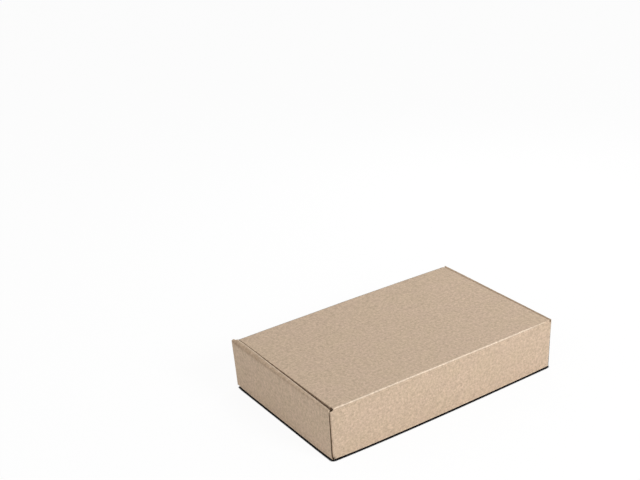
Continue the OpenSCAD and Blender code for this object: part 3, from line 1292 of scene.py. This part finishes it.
@dataclass(frozen=True, kw_only=True)
class LinerFinish(Finish):
    """Unbleached kraft liner: speckle, fibres, flecks, flute lines, burnished creases lightened partly as a
    painted highlight, and crushed board darkened partly as painted shade.
    """

    roughness: float = 0.88
    gloss: float = 0.25
    relief: float = 0.06 * MM
    tone: Colour
    rosy: Colour
    straw: Colour
    ridge: Colour
    crushed_and_shaded: Colour
    rosy_blots: Blots = Blots(38.0, 0.3, 0.7)
    rub_and_highlight_blots: Blots = Blots(420.0, 0.15, 0.6, 0.35)
    bruise_and_shade_blots: Blots = Blots(260.0, 0.2, 0.75, 0.25)
    fibres: Blots = Blots(1500.0, 0.58, 0.75, detail=1.0)
    pale_fibres: Blots = Blots(1300.0, 0.6, 0.78, detail=1.0)
    fibre_turns: Pair = (0.6, -0.9)
    fleck_scales: Pair = (160.0, 130.0)
    fleck_rarities: Pair = (0.965, 0.97)
    grain_scale: float = 700.0
    grain_detail: float = 3.0
    cloud_scale: float = 300.0
    tone_share: float = 0.65
    grain_tone: float = 0.64
    cloud_tone: float = 0.73
    flute_tone: float = 0.0175
    fibre_tone: float = -0.06
    pale_fibre_tone: float = 0.05
    fleck_tone: float = -0.28
    pale_fleck_tone: float = 0.2
    grain_bump: float = 0.5
    cloud_bump: float = 0.25
    flute_bump: float = 0.12
    fibre_bump: float = 0.2

    def _surface(self, shader: Shader, place: Wire, waves: Wire, height: Wire) -> tuple[Wire, Wire]:
        """Works out the liner's colour and bumps, as the base class says."""
        grain = shader.noise(place, self.grain_scale, self.grain_detail)
        cloud = shader.noise(place, self.cloud_scale)
        fibres = self.fibres.wire(shader, shader.slanted(place, self.fibre_turns[0]))
        pale_fibres = self.pale_fibres.wire(shader, shader.slanted(place, self.fibre_turns[1]))
        kinds = zip(self.fleck_scales, self.fleck_rarities)
        flecks, pale_flecks = (shader.flecks(place, scale, rarity) for scale, rarity in kinds)
        # Fold ridges turn towards the ridge colour: partly burnished liner, partly a painted highlight where
        # the rounded ridge faces the light.
        rub_and_highlight = shader.attribute("worn_and_highlight") * self.rub_and_highlight_blots.wire(shader, place)
        # Crushed board turns towards the crushed colour: partly crushed liner, partly painted shade of its
        # rumpled surface and of the gaps beside it.
        bruise_and_shade = shader.attribute("crushed_and_shaded") * self.bruise_and_shade_blots.wire(shader, place)
        colour = shader.mix(self.rosy_blots.wire(shader, place), self.straw, self.rosy)
        for share, over in ((self.tone_share, self.tone), (bruise_and_shade, self.crushed_and_shaded), (rub_and_highlight, self.ridge)):
            colour = shader.mix(share, colour, over)
        level = 1 + self.grain_tone * (grain - 0.5) + self.cloud_tone * (cloud - 0.5)
        level = level + self.flute_tone * waves + self.fibre_tone * fibres
        level = level + self.pale_fibre_tone * pale_fibres
        level = level + self.fleck_tone * flecks + self.pale_fleck_tone * pale_flecks
        bumps = self.grain_bump * grain + self.cloud_bump * cloud
        bumps = bumps + self.flute_bump * waves + self.fibre_bump * pale_fibres
        return shader.mix(1.0, colour, shader.grey(level), "MULTIPLY"), bumps


@dataclass(frozen=True, kw_only=True)
class RawEdgeFinish(Finish):
    """Cut edge of corrugated board: two liners with the waved medium between them, with the paper darkened as
    painted shade and the flute hollows painted dark as shade.
    """

    roughness: float = 0.92
    gloss: float = 0.2
    relief: float = 0.25 * MM
    shaded_paper: Colour
    pressed: Colour
    hollow_shade: Colour
    wave_height: float = 0.34
    medium_edge: Pair = (0.06, 0.13)
    liner_edge: Pair = (0.38, 0.44)
    squeezed_edge: Pair = (0.1, 0.5)
    grain_scale: float = 1400.0
    grain_tone: float = 0.25
    grain_bump: float = 0.2

    def _surface(self, shader: Shader, place: Wire, waves: Wire, height: Wire) -> tuple[Wire, Wire]:
        """Works out the cut edge's colour and bumps, as the base class says."""
        medium = abs(height - (0.5 + self.wave_height * waves)).ramp(*self.medium_edge, 1.0, 0.0)
        liners = abs(height - 0.5).ramp(*self.liner_edge)
        squeezed = shader.attribute("crushed_and_shaded").ramp(*self.squeezed_edge)
        solid = medium.larger(liners).larger(squeezed)
        grain = shader.noise(place, self.grain_scale)
        # The cut paper is darkened towards the hollows' painted shade by the grain.
        fibre = shader.mix(1 - self.grain_tone + self.grain_tone * grain, self.hollow_shade, self.shaded_paper)
        shaded_paper = shader.mix(squeezed, fibre, self.pressed)
        return shader.mix(solid, self.hollow_shade, shaded_paper), solid + self.grain_bump * grain


@dataclass(frozen=True)
class BoardFinishes:
    """The three finishes of plain kraft board, in the order of its material slots."""

    outer: Finish = LinerFinish(
        name="kraft_outer",
        tone=srgb(194, 172, 149),
        rosy=srgb(196, 172, 152),
        straw=srgb(193, 172, 147),
        # The ridge colour is burnished liner lightened partly as a painted highlight; the crushed colour is
        # crushed board darkened partly as painted shade.
        ridge=srgb(230, 212, 191),
        crushed_and_shaded=srgb(160, 136, 112),
    )
    inner: Finish = LinerFinish(
        name="kraft_inner",
        tone=srgb(188, 164, 139),
        rosy=srgb(191, 164, 140),
        straw=srgb(186, 165, 136),
        # The ridge colour is burnished liner lightened partly as a painted highlight; the crushed colour is
        # crushed board darkened partly as painted shade.
        ridge=srgb(200, 178, 154),
        crushed_and_shaded=srgb(160, 136, 112),
        flute_tone=0.025,
    )
    raw: Finish = RawEdgeFinish(
        name="cut_edge",
        # The cut paper is darkened as painted shade, and the hollows are painted dark where the open flutes
        # are only in shade.
        shaded_paper=srgb(106, 86, 64),
        pressed=srgb(205, 184, 160),
        hollow_shade=srgb(46, 33, 23),
    )

    def dress(self, *boards: bpy.types.Object) -> None:
        """Gives the boards their materials."""
        made = [finish.material() for finish in (self.outer, self.inner, self.raw)]
        for board in boards:
            for material in made:
                board.data.materials.append(material)


@dataclass(frozen=True)
class View:
    """Camera at the photograph's viewing angle."""

    eye: Vector = Vector((0.7087, 0.9415, 0.6927))
    aim: Vector = Vector((-0.1659, -0.4018, 0.0))
    roll: float = math.radians(3.06)
    focal_px: float = 1123.0
    image_w: float = 640.0
    sensor_w: float = 36.0

    def build(self) -> None:
        """Makes the camera and sets it as the scene's."""
        data = bpy.data.cameras.new("camera")
        data.sensor_fit = "HORIZONTAL"
        data.sensor_width = self.sensor_w
        data.lens = self.focal_px * self.sensor_w / self.image_w
        forward = (self.aim - self.eye).normalized()
        level = forward.cross(Z_AXIS).normalized()
        right = Matrix.Rotation(self.roll, 3, forward) @ level
        turned = Matrix((right, right.cross(forward), -forward)).transposed()
        camera = placed("camera", data)
        camera.matrix_world = Matrix.Translation(self.eye) @ turned.to_4x4()
        bpy.context.scene.camera = camera


@dataclass(frozen=True)
class Lamp:
    """Soft disk lamp, whose level is the radiance of a white surface that faces it at its aim."""

    name: str
    place: Vector
    size: float
    level: float
    aim: Vector = Vector((0.0, 0.0, 0.06))

    def build(self) -> None:
        """Makes the lamp, which the camera doesn't see."""
        towards = self.aim - self.place
        data = bpy.data.lights.new(self.name, "AREA")
        data.shape = "DISK"
        data.size = self.size
        data.energy = self.level * math.pi**2 * towards.length_squared
        lamp = placed(self.name, data)
        turn = towards.to_track_quat("-Z", "Y").to_matrix().to_4x4()
        lamp.matrix_world = Matrix.Translation(self.place) @ turn
        lamp.visible_camera = False


@dataclass(frozen=True)
class Studio:
    """White floor and surroundings with one broad soft lamp and a weak one."""

    key: Lamp = Lamp("key_lamp", Vector((-0.45, 1.75, 1.15)), 0.8, 0.54)
    fill: Lamp = Lamp("fill_lamp", Vector((-0.6, -0.45, 0.56)), 0.4, 0.18)
    sky: float = 0.6
    sky_slope: float = 0.6
    floor_tone: float = 0.86
    floor_half: float = 12.0
    floor_parts: int = 8
    shadow_share: float = 0.08
    contact_reach: float = 3.6 * MM
    contact_samples: int = 24
    contact_span: Pair = (0.78, 0.86)
    contact_tone: float = 0.01

    def _world(self) -> None:
        """Makes the surroundings, which look white and light the box a little more from +X."""
        world = bpy.data.worlds.new("studio")
        shader = Shader(world)
        towards = shader.node("TexCoord").wire("Generated")
        sideways = shader.node("SeparateXYZ", {"Vector": towards}).wire("X")
        sky = self.sky * (1 + self.sky_slope * sideways)
        strength = shader.background_rays() * (1.0 - sky) + sky
        shader.finish(shader.node("Background", {"Color": (1, 1, 1, 1), "Strength": strength}))
        bpy.context.scene.world = world

    def _floor(self) -> None:
        """Makes the floor, which is white but for the object's shadow."""
        grid = bmesh.new()
        parts = self.floor_parts
        bmesh.ops.create_grid(grid, x_segments=parts, y_segments=parts, size=self.floor_half)
        mesh = bpy.data.meshes.new("studio_floor")
        grid.to_mesh(mesh)
        grid.free()
        made = bpy.data.materials.new("studio_floor")
        shader = Shader(made)
        seen = shader.background_rays()
        reach = {"Distance": self.contact_reach}
        contact = shader.node("AmbientOcclusion", reach, samples=self.contact_samples)
        level = contact.wire("AO").ramp(*self.contact_span, self.contact_tone, 1.0)
        tone = seen * (level - self.floor_tone) + self.floor_tone
        lit = shader.node("BsdfDiffuse", {"Color": shader.grey(tone)})
        white = shader.node("Emission", {"Color": shader.grey(level), "Strength": 1.0})
        share = seen * (1.0 - self.shadow_share)
        shader.finish(shader.node("MixShader", {0: share, 1: lit.wire(0), 2: white.wire(0)}))
        mesh.materials.append(made)
        floor = placed("studio_floor", mesh)

    def build(self) -> None:
        """Makes the surroundings and sets the plain view transform."""
        self._world()
        self._floor()
        self.key.build()
        self.fill.build()
        bpy.context.scene.view_settings.view_transform = "Standard"


def main() -> None:
    """Builds the box, its finishes, the camera and the studio."""
    logging.basicConfig(level=logging.INFO, format="%(name)s: %(message)s")
    sizes = BoxSizes.from_frame(Board())
    settling = Settling(sizes)
    boards = [part.build(settling) for part in (Tray(sizes), Lid(sizes), HingeCrease(sizes))]
    BoardFinishes().dress(*boards)
    for made in boards:
        made.data.calc_loop_triangles()
        LOG.info("%s: %d triangles", made.name, len(made.data.loop_triangles))
    View().build()
    Studio().build()


if __name__ == "__main__":
    main()
